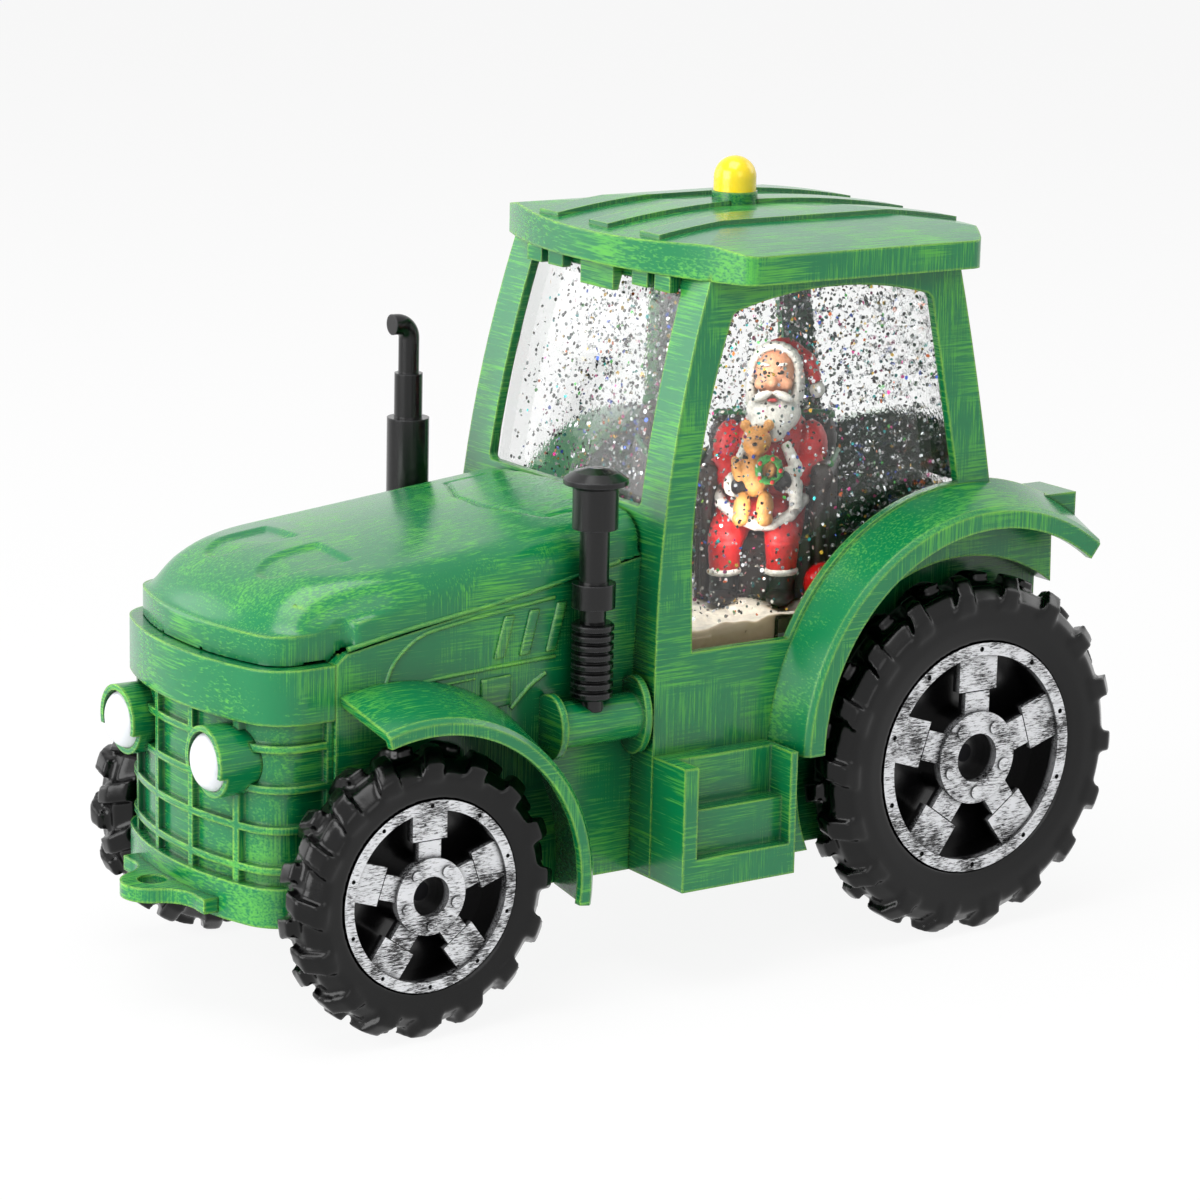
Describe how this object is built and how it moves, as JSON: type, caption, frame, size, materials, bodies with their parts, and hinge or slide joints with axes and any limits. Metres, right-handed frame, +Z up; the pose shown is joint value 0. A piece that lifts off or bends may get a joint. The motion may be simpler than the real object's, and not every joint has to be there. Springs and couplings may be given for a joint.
{
  "type": "tractor-shaped water lantern",
  "caption": "Tractor-shaped water lantern: a green casing on turning wheels, with a clear water tank in the cab round a seated winter figure.",
  "frame": {"origin": "bottom centre of the bounding box, on the surface that the wheels stand on", "axes": "+X towards the tractor's left side, +Y towards its rear along its length, +Z up"},
  "size_m": [0.1, 0.217, 0.1631],
  "materials": {
    "body_green": "satin moulded plastic with lighter green dry-brushed on ribs and edges",
    "tyre_black": "glossy black moulded plastic",
    "rim_silver": "silver paint dry-brushed over black",
    "plated_steel": "zinc plated",
    "lamp_pearl": "pearl white paint",
    "beacon_yellow": "glossy yellow",
    "pipe_black": "glossy black moulded plastic",
    "switch_black": "matte black",
    "base_green": "satin moulded plastic",
    "cell_jacket": "printed jacket without text",
    "contact_nickel": "nickel plated",
    "white_plastic": "matte white",
    "board_green": "solder mask",
    "led_clear": "clear epoxy",
    "motor_steel": "plated steel can",
    "magnet_dark": "nickel plated ferrite disc",
    "tank_clear": "clear, polished",
    "seal_rubber": "soft black rubber",
    "snow_resin": "cream snow, rough",
    "chair_paint": "painted brown resin",
    "figure_paint": "painted resin, red coat and white trim",
    "teddy_paint": "painted brown resin",
    "ball_paint": "painted red resin"
  },
  "bodies": {
    "casing": {"air_intake": "pipe_black", "armchair": "chair_paint", "base_plate": "base_green", "base_screws": "plated_steel", "battery_box": "base_green", "battery_cells": "cell_jacket", "battery_contacts": "contact_nickel", "beacon_base": "body_green", "beacon_lens": "beacon_yellow", "bonnet": "body_green", "cab_frame": "body_green", "circuit_board": "board_green", "engine_housing": "body_green", "exhaust_pipe": "pipe_black", "filler_plug": "seal_rubber", "front_fender_left": "body_green", "front_fender_right": "body_green", "front_grille": "body_green", "grille_collar": "body_green", "headlamp_housing_left": "body_green", "headlamp_housing_right": "body_green", "headlamp_lens_left": "lamp_pearl", "headlamp_lens_right": "lamp_pearl", "intake_boot": "pipe_black", "led": "led_clear", "motor": "motor_steel", "motor_bracket": "white_plastic", "ornament_ball": "ball_paint", "rear_fender_left": "body_green", "rear_fender_right": "body_green", "roof": "body_green", "roof_lamps": "body_green", "santa_figure": "figure_paint", "side_canisters": "body_green", "snow_base": "snow_resin", "step_left": "body_green", "step_right": "body_green", "switch_body": "switch_black", "tail_block_left": "body_green", "tail_block_right": "body_green", "tank": "tank_clear", "tank_base": "white_plastic", "tank_seal": "seal_rubber", "tank_tray": "white_plastic", "teddy_bear": "teddy_paint", "tow_hook": "body_green"},
    "front_wheelset": {"front_axle": "plated_steel", "rim_front_left": "rim_silver", "rim_front_right": "rim_silver", "tyre_front_left": "tyre_black", "tyre_front_right": "tyre_black"},
    "rear_wheelset": {"rear_axle": "plated_steel", "rim_rear_left": "rim_silver", "rim_rear_right": "rim_silver", "tyre_rear_left": "tyre_black", "tyre_rear_right": "tyre_black"},
    "door": {"battery_door": "base_green"},
    "switch_knob": {"switch_slider": "switch_black"},
    "motor_rotor": {"drive_magnet": "magnet_dark"},
    "tank_impeller": {"impeller": "white_plastic"}
  },
  "joints": [
    {"name": "front_wheels_turn", "type": "hinge", "parent": "casing", "child": "front_wheelset", "pos_m": [0, -0.065, 0.0293], "axis": [1, 0, 0], "continuous": true},
    {"name": "rear_wheels_turn", "type": "hinge", "parent": "casing", "child": "rear_wheelset", "pos_m": [0, 0.0695, 0.039], "axis": [1, 0, 0], "continuous": true},
    {"name": "battery_door_hinge", "type": "hinge", "parent": "casing", "child": "door", "pos_m": [0, 0.0025, 0.0251], "axis": [1, 0, 0], "range_deg": [0, 80]},
    {"name": "switch_slide", "type": "slide", "parent": "casing", "child": "switch_knob", "axis": [1, 0, 0], "range_m": [0, 0.004]},
    {"name": "motor_spin", "type": "hinge", "parent": "casing", "child": "motor_rotor", "pos_m": [-0.015, 0.0525, 0.05], "axis": [0, 0, 1], "continuous": true},
    {"name": "impeller_spin", "type": "hinge", "parent": "casing", "child": "tank_impeller", "pos_m": [-0.015, 0.0525, 0.069], "axis": [0, 0, 1], "continuous": true}
  ],
  "couplings": [
    {"joint": "impeller_spin", "follows": "motor_spin", "ratio": 1}
  ]
}
